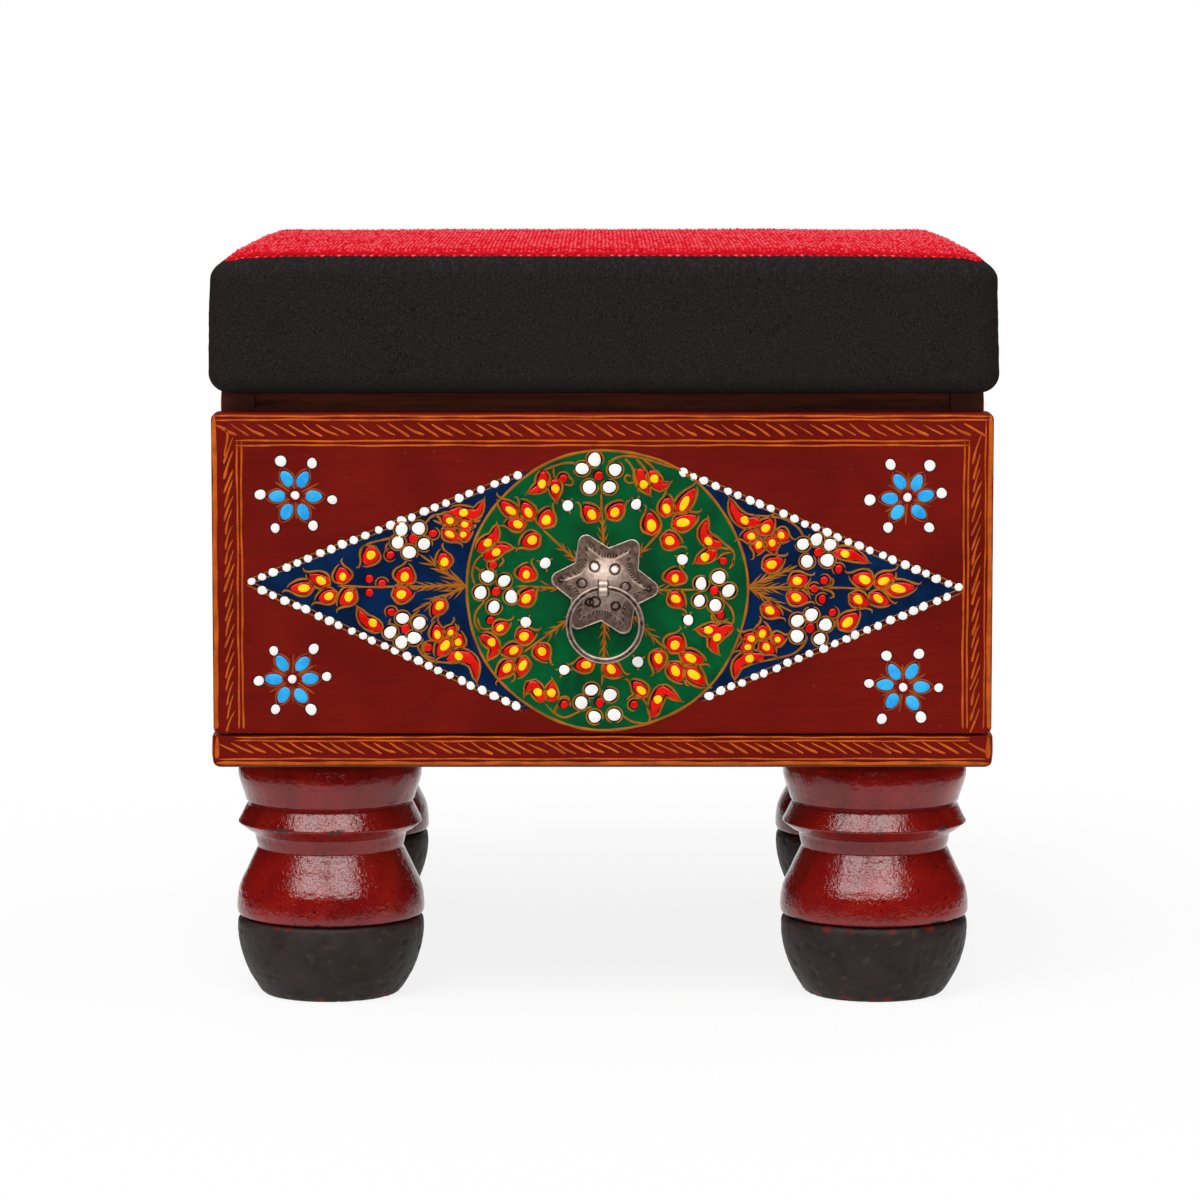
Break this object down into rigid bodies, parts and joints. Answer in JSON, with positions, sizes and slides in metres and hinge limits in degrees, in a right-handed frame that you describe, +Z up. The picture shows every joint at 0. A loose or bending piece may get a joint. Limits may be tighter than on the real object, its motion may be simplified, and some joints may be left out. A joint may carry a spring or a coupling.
{
  "type": "moroccan kursi stool",
  "caption": "Low cube-shaped painted wooden stool on turned legs, with a full-width drawer, a ring pull and a padded square seat.",
  "frame": {"origin": "on the floor, in the middle of the overall width and depth", "axes": "+Z up; -Y out of the front, the way the drawer opens; +X to the right as seen from the front"},
  "size_m": [0.3836, 0.3948, 0.3702],
  "materials": {
    "painted_wood": "satin dark red paint with traditional painted ornament",
    "brown_wood": "matte dark brown stain",
    "pale_wood": "bare planed wood",
    "red_lacquer": "glossy uneven lacquer",
    "black_paint": "satin black paint, scuffed",
    "aged_silver": "aged silver-coloured metal with brown patina",
    "steel": "plain steel",
    "black_cloth": "matte ribbed cloth",
    "red_weave": "coarse matte weave",
    "foam": "open-cell foam"
  },
  "bodies": {
    "stool": {"foot_front_left": "black_paint", "foot_front_right": "black_paint", "foot_rear_left": "black_paint", "foot_rear_right": "black_paint", "leg_front_left": "red_lacquer", "leg_front_right": "red_lacquer", "leg_rear_left": "red_lacquer", "leg_rear_right": "red_lacquer", "leg_dowel_front_left": "pale_wood", "leg_dowel_front_right": "pale_wood", "leg_dowel_rear_left": "pale_wood", "leg_dowel_rear_right": "pale_wood", "base_board": "painted_wood", "base_screw_front_left": "steel", "base_screw_front_right": "steel", "base_screw_rear_left": "steel", "base_screw_rear_right": "steel", "side_panel_left": "painted_wood", "side_panel_right": "painted_wood", "back_panel": "painted_wood", "front_top_rail": "brown_wood", "corner_block_front_left": "brown_wood", "corner_block_front_right": "brown_wood", "corner_block_rear_left": "brown_wood", "corner_block_rear_right": "brown_wood", "seat_screw_front_left": "steel", "seat_screw_front_right": "steel", "seat_screw_rear_left": "steel", "seat_screw_rear_right": "steel", "seat_board": "pale_wood", "seat_foam": "foam", "seat_border_cover": "black_cloth", "seat_top_cover": "red_weave"},
    "drawer": {"drawer_front": "painted_wood", "drawer_side_left": "pale_wood", "drawer_side_right": "pale_wood", "drawer_back": "pale_wood", "drawer_bottom": "pale_wood", "pull_backplate": "aged_silver", "pull_staple": "aged_silver"},
    "ring": {"pull_ring": "aged_silver"}
  },
  "joints": [
    {"name": "drawer_slide", "type": "slide", "parent": "stool", "child": "drawer", "axis": [0, -1, 0], "range_m": [0, 0.26]},
    {"name": "ring_swing", "type": "hinge", "parent": "drawer", "child": "ring", "pos_m": [0.0012, -0.1943, 0.2094], "axis": [-1, 0, 0], "range_deg": [-8, 170]}
  ]
}
